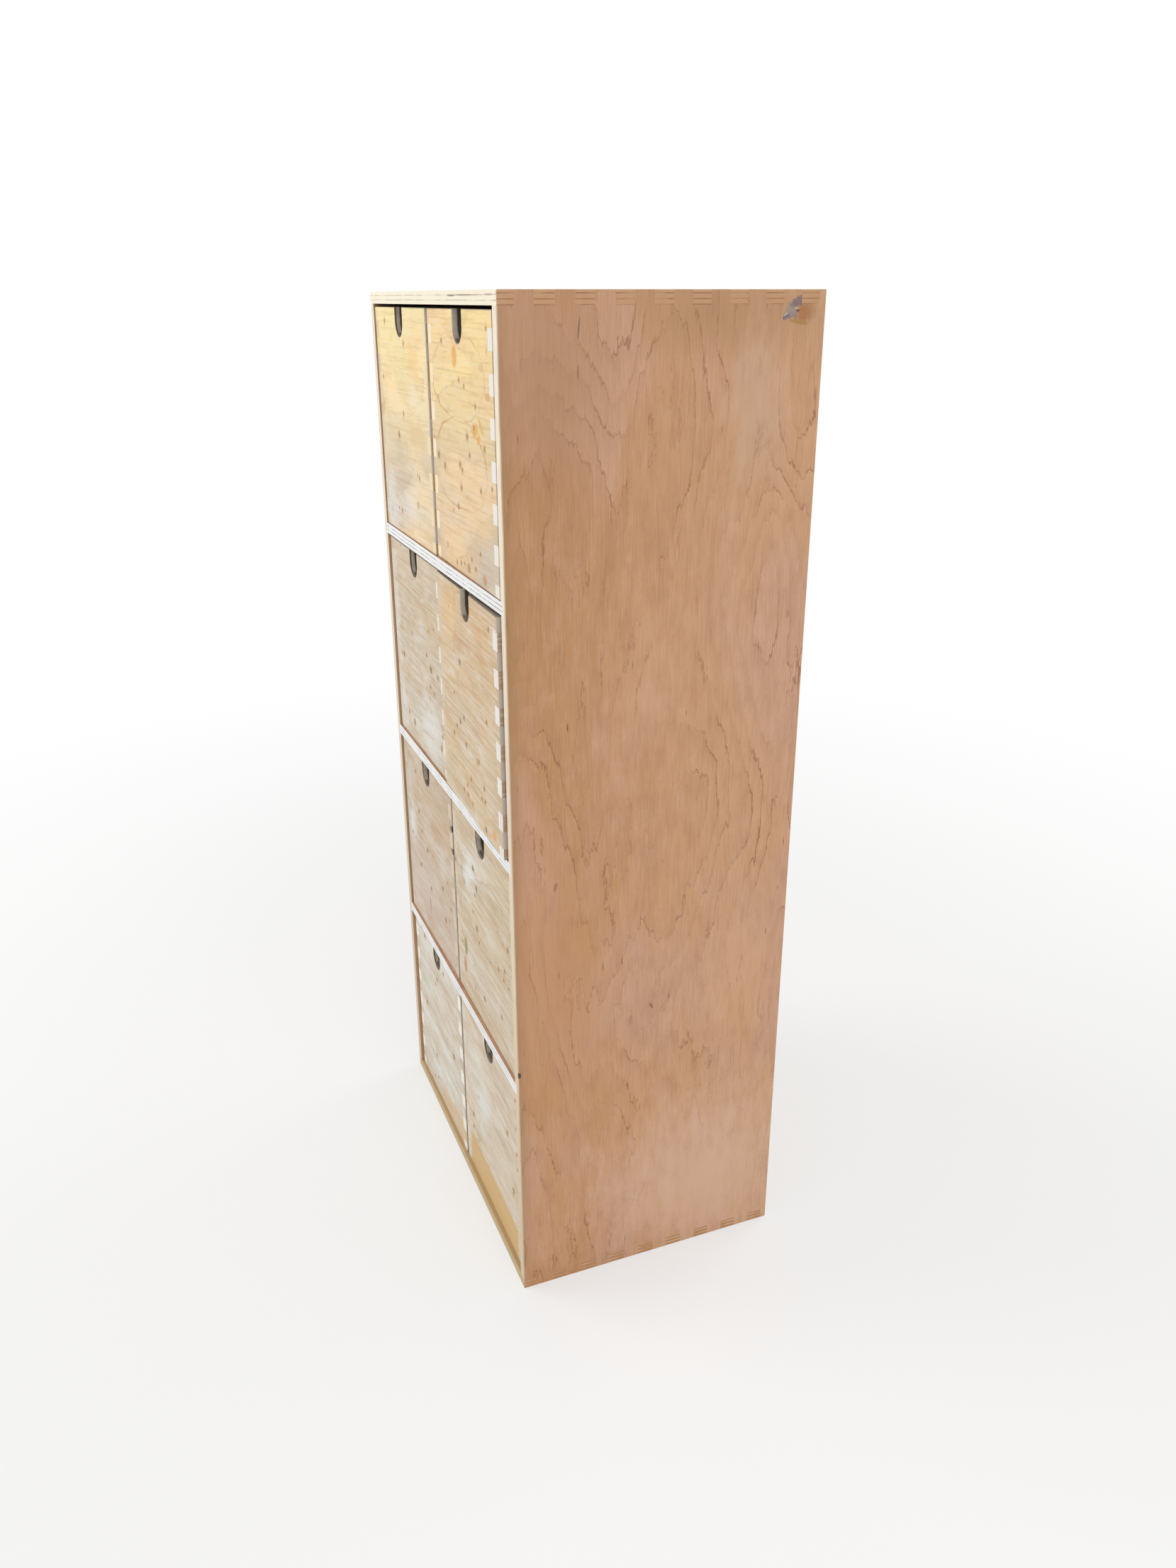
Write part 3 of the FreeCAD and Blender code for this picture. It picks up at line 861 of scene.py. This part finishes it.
        fleck_share=0.96,
        left_end=colour(0.92, 0.9, 0.85),
        right_end=colour(0.92, 0.89, 0.82),
        wash=colour(0.8, 0.82, 0.77),
        wash_strength=0.62,
        fleck=colour(0.24, 0.15, 0.08),
        knots=(
            (-0.243, 0.181, 0.0052), (-0.108, 0.316, 0.0036), (-0.155, 0.278, 0.004),
            (-0.063, 0.175, 0.0054), (-0.231, 0.328, 0.0044), (-0.187, 0.049, 0.003),
        ),
        stains_and_shading=(
            haze(-0.23, 0.26, 0.04, 0.06, (0.68, 0.74, 0.68), 0.45),
            # A darker amber band along the bottom of the front.
            oval(0.0, 0.017, 0.2, 0.056, (0.66, 0.43, 0.2), 0.6, torn=0.5, soft=0.25, frayed=0.3),
        ),
    ),
    "row4_right": Front(
        high=colour(0.68, 0.58, 0.45),
        low=colour(0.72, 0.62, 0.46),
        blush=colour(0.69, 0.57, 0.42),
        fleck_share=0.96,
        left_end=colour(0.72, 0.66, 0.55),
        right_end=colour(0.7, 0.62, 0.5),
        wash_strength=0.55,
        fleck=colour(0.24, 0.15, 0.08),
        knots=(
            (0.195, 0.349, 0.0036), (0.047, 0.132, 0.0046), (0.044, 0.105, 0.0036),
            (0.257, 0.139, 0.0046), (0.082, 0.19, 0.0034), (0.278, 0.318, 0.003),
        ),
        stains_and_shading=(
            oval(0.105, 0.185, 0.05, 0.075, (0.76, 0.79, 0.76), 0.5, torn=1.6, soft=1.0, frayed=0.3),
            # A darker amber band with sharp edges along the bottom of the front.
            slab(0.147, 0.036, 0.13, 0.046, AMBER, 0.85, torn=0.25, soft=0.1, frayed=0.2, turn=-0.05),
        ),
    ),
}


def drawer_look(finishes, front):
    """Pale sanded veneer, a little different on each drawer."""
    return Veneer(
        low=front.low,
        high=front.high,
        blush=front.blush,
        vein=colour(0.42, 0.25, 0.12),
        fleck=front.fleck,
        edge=rgba(finishes.sawn_edge),
        edge_band=rgba(finishes.sawn_edge_band),
        end=rgba(finishes.sawn_end),
        end_band=rgba(finishes.sawn_edge),
        mouth=rgba(finishes.notch_ply),
        mouth_band=rgba(finishes.notch_band),
        ring_strength=0.34 * finishes.figure * front.figure,
        ring_shade=0.2 * front.figure,
        fibre_scale=(9.0, 260.0),
        fibre_strength=0.46 * front.figure,
        mottle_strength=0.34 * front.figure,
        fleck_size=0.2,
        fleck_share=front.fleck_share,
        fleck_strength=0.82,
        wash=front.wash,
        wash_top=front.wash_top,
        wash_strength=front.wash_strength,
        relief=finishes.relief,
        rings=front.rings,
        stains_and_shading=front.stains_and_shading,
        knots=front.knots,
    )


SIDE_STAINS_AND_HIGHLIGHTS = (
    shade(-0.216, 0.9, 0.026, 1.5, (0.34, 0.185, 0.075), 0.7, torn=0.5),
    shade(-0.15, 1.3, 0.085, 0.15, (0.34, 0.165, 0.07), 0.5),
    shade(0.08, 1.385, 0.16, 0.06, (0.38, 0.205, 0.095), 0.55),
    shade(-0.15, 0.52, 0.075, 0.22, (0.5, 0.23, 0.08), 0.5, torn=0.8),
    shade(-0.02, 0.97, 0.08, 0.12, (0.62, 0.36, 0.205), 0.3, torn=1.2, soft=0.8),
    shade(0.09, 0.12, 0.19, 0.19, (0.68, 0.44, 0.31), 0.7, torn=0.8),
    shade(0.13, 0.48, 0.07, 0.11, (0.64, 0.375, 0.22), 0.35, torn=1.2, soft=0.8),
    shade(0.12, 1.27, 0.05, 0.11, (0.56, 0.36, 0.23), 0.55, torn=1.4, soft=0.7),
    tear(0.183, 1.3855, 0.014, 0.014, (0.32, 0.165, 0.065), 0.75, soft=0.7),
    tear(0.1768, 1.383, 0.009, 0.012, (0.38, 0.155, 0.05), 0.85, soft=0.6),
    tear(0.1711, 1.3739, 0.014, 0.003, (0.36, 0.2, 0.06), 0.85, torn=0.2, turn=0.15),
    tear(0.181, 1.3972, 0.011, 0.0018, (0.32, 0.17, 0.055), 0.8, torn=0.2),
    tear(0.1622, 1.3815, 0.009, 0.0052, (0.26, 0.185, 0.165), 0.85, frayed=2.0),
    tear(0.1617, 1.389, 0.008, 0.0085, (0.28, 0.23, 0.205), 0.8, frayed=2.0),
    tear(0.17, 1.3965, 0.012, 0.0058, (0.18, 0.135, 0.13), 0.88, frayed=2.2, turn=-0.45),
    tear(0.1545, 1.38, 0.0055, 0.004, (0.15, 0.135, 0.18), 0.9, frayed=1.8, turn=-0.5),
    # The next two pale specks are painted highlights on the torn mark.
    tear(0.154, 1.3822, 0.004, 0.001, (0.5, 0.47, 0.5), 0.8, torn=0.2, turn=-0.5),
    tear(0.168, 1.3892, 0.003, 0.0014, (0.5, 0.4, 0.34), 0.75, torn=0.2, frayed=1.2),
    tear(0.1702, 1.3863, 0.0024, 0.0014, (0.08, 0.04, 0.03), 0.92, torn=0.2),
    patch(-0.2085, 0.388, 0.004, 0.006, DARK_SPOT_AND_SHADE, 0.95, torn=0.4),
    patch(-0.113, 1.368, 0.001, 0.014, DARK_SPOT_AND_SHADE, 0.65, torn=0.5, turn=0.1),
    patch(-0.15, 0.673, 0.003, 0.008, (0.24, 0.11, 0.05), 0.6, torn=1.2, turn=0.3),
    patch(-0.006, 0.456, 0.003, 0.008, (0.2, 0.09, 0.04), 0.7, torn=1.2, turn=-0.5),
)
TOP_STAINS = (
    oval(0.135, 1.404, 0.02, 0.0011, DARK_SPOT_AND_SHADE, 0.8, torn=0.7),
    oval(0.21, 1.4044, 0.06, 0.0009, (0.25, 0.15, 0.1), 0.7, torn=0.9),
    oval(0.285, 1.4048, 0.014, 0.0012, (0.28, 0.2, 0.15), 0.6, torn=0.9),
)


# --- Operators ---


class CABINET_OT_case(bpy.types.Operator):
    """Finish the case's sides, top, bottom and shelves in plywood"""

    bl_idname = "cabinet.case"
    bl_label = "Finish the case"

    def execute(self, context):
        finishes = context.scene.cabinet_finishes
        side = side_look(finishes)
        dress_board("case_right_side", X, Z, replace(side, inner_side=-1.0, stains_and_shading=SIDE_STAINS_AND_HIGHLIGHTS), 1)
        # A copy for the left side with darker front edges: painted shade.
        shaded = replace(side, edge=colour(0.88, 0.78, 0.64), edge_low=colour(0.62, 0.5, 0.36))
        dress_board("case_left_side", X, Z, shaded, 2)
        # Here and in the top below, the pale front edges carry painted light from the front, and the tan
        # ends facing the sides carry painted shade.
        shelf = replace(
            side,
            low=rgba(finishes.shelf_face),
            high=rgba(finishes.shelf_face),
            inner=None,
            edge_low=None,
            edge=rgba(finishes.shelf_edge),
            edge_band=rgba(finishes.shelf_edge_band),
            end=rgba(finishes.side_high),
            end_band=colour(0.28, 0.13, 0.065),
            end_places=(0.03, 0.39, 0.77),
            end_width=0.055,
        )
        top = replace(
            shelf,
            low=rgba(finishes.side_high),
            high=rgba(finishes.side_high),
            edge=colour(0.95, 0.87, 0.68),
            edge_band=colour(0.62, 0.52, 0.38),
            # The top's underside is painted near-black: painted shade in the gap above the top row of
            # drawers.
            inner=colour(0.11, 0.065, 0.04),
            inner_side=-1.0,
            end=colour(0.5, 0.275, 0.14),
            end_band=colour(0.27, 0.13, 0.065),
            end_width=0.048,
            stains_and_shading=TOP_STAINS,
        )
        bottom = replace(
            shelf,
            edge=colour(0.58, 0.44, 0.24),
            edge_band=colour(0.34, 0.24, 0.12),
            inner=colour(0.5, 0.345, 0.165),
            end_band=colour(0.74, 0.56, 0.4),
        )
        dress_board("case_top", Z, X, top, 3)
        dress_board("case_bottom", Z, X, bottom, 4)
        for seed, node in enumerate(("upper_shelf", "middle_shelf", "lower_shelf"), 5):
            dress_board(node, Z, X, shelf, seed)
        return {"FINISHED"}


class CABINET_OT_back(bpy.types.Operator):
    """Finish the thin back and its steel pins"""

    bl_idname = "cabinet.back"
    bl_label = "Finish the back"

    def execute(self, context):
        finishes = context.scene.cabinet_finishes
        thin = rgba(finishes.thin_board)
        look = replace(side_look(finishes), low=thin, high=thin, band_places=(0.5,), band_width=0.3)
        dress_board("case_back", Y, Z, look, 9)
        dress("back_pins", brushed_steel("pin_steel", rgba(finishes.steel)))
        return {"FINISHED"}


class CABINET_OT_drawers(bpy.types.Operator):
    """Finish the eight drawers in pale plywood"""

    bl_idname = "cabinet.drawers"
    bl_label = "Finish the drawers"

    def execute(self, context):
        finishes = context.scene.cabinet_finishes
        thin = rgba(finishes.thin_board)
        wall_face = rgba(finishes.wall_face)
        for seed, (name, front) in enumerate(FRONTS.items()):
            drawer = name + "_drawer"
            look = drawer_look(finishes, front)
            turn = askew(drawer)
            plain = replace(look, mouth=None, stains_and_shading=(), rings=(), knots=(), wash_strength=0.0)
            wall = replace(
                plain, low=wall_face, high=wall_face, blush=wall_face, fleck_share=0.95, grime=0.06
            )
            left = replace(
                wall,
                end=front.left_end,
                end_band=front.high,
                end_places=front.left_places,
                end_width=front.left_width,
            )
            right = replace(wall, end=front.right_end, end_band=front.high)
            floor = replace(plain, low=thin, high=thin, band_places=(0.5,), band_width=0.3)
            boards = (
                ("front", Y, X, look, 20),
                ("back", Y, X, plain, 30),
                ("left_wall", X, Y, left, 40),
                ("right_wall", X, Y, right, 50),
                ("floor", Z, X, floor, 60),
            )
            for part, through, grain, finish, first_seed in boards:
                node = drawer + "_" + part
                dress_board(node, through, grain, finish, first_seed + seed, turn)
        return {"FINISHED"}


class CABINET_OT_studio(bpy.types.Operator):
    """Build the pale floor, the soft light and the camera"""

    bl_idname = "cabinet.studio"
    bl_label = "Build the studio"

    def execute(self, context):
        studio = context.scene.cabinet_studio
        context.scene.view_settings.view_transform = "Standard"
        self.add_floor(context, studio)
        self.add_world(context, studio)
        self.add_lamp(context, "key_lamp", (-1.9, -3.2, 2.7), 2.6, studio.key_power)
        self.add_lamp(context, "side_lamp", (3.4, -0.4, 2.5), 2.4, studio.side_power)
        self.add_lamp(context, "back_lamp", (-0.8, 3.4, 2.5), 2.4, studio.back_power)
        self.add_camera(context, studio)
        return {"FINISHED"}

    def add_object(self, context, name, data):
        """A new object in the scene."""
        made = bpy.data.objects.new(name, data)
        context.scene.collection.objects.link(made)
        return made

    def seen_straight(self, finish):
        """1 for what the camera sees, directly, in a reflection or through glass; else 0."""
        path = finish.node("ShaderNodeLightPath", output="Is Camera Ray")
        rays = path + path.output("Is Glossy Ray") + path.output("Is Transmission Ray")
        return finish.calc("MINIMUM", rays, 1.0)

    def add_floor(self, context, studio):
        """A round pale floor that fades to white and keeps the cabinet's shadow."""
        angles = [2 * math.pi * i / FLOOR_CORNERS for i in range(FLOOR_CORNERS)]
        radius = studio.floor_radius
        rim = [(radius * math.cos(angle), radius * math.sin(angle), 0.0) for angle in angles]
        mesh = bpy.data.meshes.new("studio_floor")
        mesh.from_pydata(rim, [], [tuple(range(FLOOR_CORNERS))])
        floor = self.add_object(context, "studio_floor", mesh)
        finish = new_material("studio_floor_paint")
        spot = finish.node("ShaderNodeTexCoord", output="Object")
        away = finish.length(spot)
        seen = self.seen_straight(finish)
        paint = finish.node(
            "ShaderNodeBsdfPrincipled",
            {},
            {"Base Color": colour(0.86, 0.86, 0.85), "Roughness": 0.9, "Specular IOR Level": 0.0},
        )
        glow = finish.node("ShaderNodeEmission", {}, {"Color": colour(1.0, 1.0, 1.0), "Strength": 1.0})
        share = seen * (0.5 + finish.ramp(away, *SHADOW_REACH) * 0.5)
        floor.data.materials.append(
            finish.surface(finish.node("ShaderNodeMixShader", {}, {0: share, 1: paint, 2: glow}))
        )

    def add_world(self, context, studio):
        """Even white light, which shows as plain white to the camera and in reflections."""
        world = bpy.data.worlds.new("studio_sky")
        sky = Finish(world)
        seen = self.seen_straight(sky)
        strength = studio.sky + seen * (1.0 - studio.sky)
        white = colour(1.0, 1.0, 1.0)
        light = sky.node("ShaderNodeBackground", {}, {"Color": white, "Strength": strength})
        sky.node("ShaderNodeOutputWorld", {}, {"Surface": light})
        context.scene.world = world

    def add_lamp(self, context, name, place, size, power):
        """A large soft lamp aimed at the cabinet's middle."""
        data = bpy.data.lights.new(name, "AREA")
        data.shape = "SQUARE"
        data.size = size
        data.energy = power
        lamp = self.add_object(context, name, data)
        lamp.location = place
        aim = Vector(LAMP_AIM) - Vector(place)
        lamp.rotation_euler = aim.to_track_quat("-Z", "Y").to_euler()
        lamp.visible_camera = False

    def add_camera(self, context, studio):
        """The camera, from its place, heading, tilt and roll."""
        turn, tilt, roll = studio.heading, studio.tilt, studio.roll
        ahead = Vector(
            (math.sin(turn) * math.cos(tilt), math.cos(turn) * math.cos(tilt), -math.sin(tilt))
        )
        level = Vector((math.cos(turn), -math.sin(turn), 0.0))
        upright = level.cross(ahead)
        right = level * math.cos(roll) - upright * math.sin(roll)
        up = level * math.sin(roll) + upright * math.cos(roll)
        data = bpy.data.cameras.new("camera")
        data.sensor_fit = "AUTO"
        data.sensor_width = SENSOR_WIDTH
        data.lens = studio.focal_length
        data.clip_start, data.clip_end = 0.05, 100.0
        camera = self.add_object(context, "camera", data)
        basis = Matrix((right, up, -ahead)).transposed()
        camera.matrix_world = Matrix.Translation(Vector(studio.camera_place)) @ basis.to_4x4()
        context.scene.camera = camera


class CABINET_PT_sidebar(bpy.types.Panel):
    """The cabinet's finishes and studio."""

    bl_idname = "CABINET_PT_sidebar"
    bl_label = "Paper drawer cabinet"
    bl_space_type = "VIEW_3D"
    bl_region_type = "UI"
    bl_category = "Cabinet"

    def draw(self, context):
        for settings in (context.scene.cabinet_finishes, context.scene.cabinet_studio):
            column = self.layout.column()
            for name in settings.__annotations__:
                column.prop(settings, name)
        for step in STEPS:
            self.layout.operator(step.bl_idname)


STEPS = (CABINET_OT_case, CABINET_OT_back, CABINET_OT_drawers, CABINET_OT_studio)
CLASSES = (CabinetFinishes, StudioSettings) + STEPS + (CABINET_PT_sidebar,)


def register():
    for each in CLASSES:
        bpy.utils.register_class(each)
    bpy.types.Scene.cabinet_finishes = bpy.props.PointerProperty(type=CabinetFinishes)
    bpy.types.Scene.cabinet_studio = bpy.props.PointerProperty(type=StudioSettings)


def unregister():
    del bpy.types.Scene.cabinet_studio
    del bpy.types.Scene.cabinet_finishes
    for each in reversed(CLASSES):
        bpy.utils.unregister_class(each)


def main():
    """Registers the add-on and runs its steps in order."""
    register()
    bpy.ops.cabinet.case()
    bpy.ops.cabinet.back()
    bpy.ops.cabinet.drawers()
    bpy.ops.cabinet.studio()


if __name__ == "__main__":
    main()
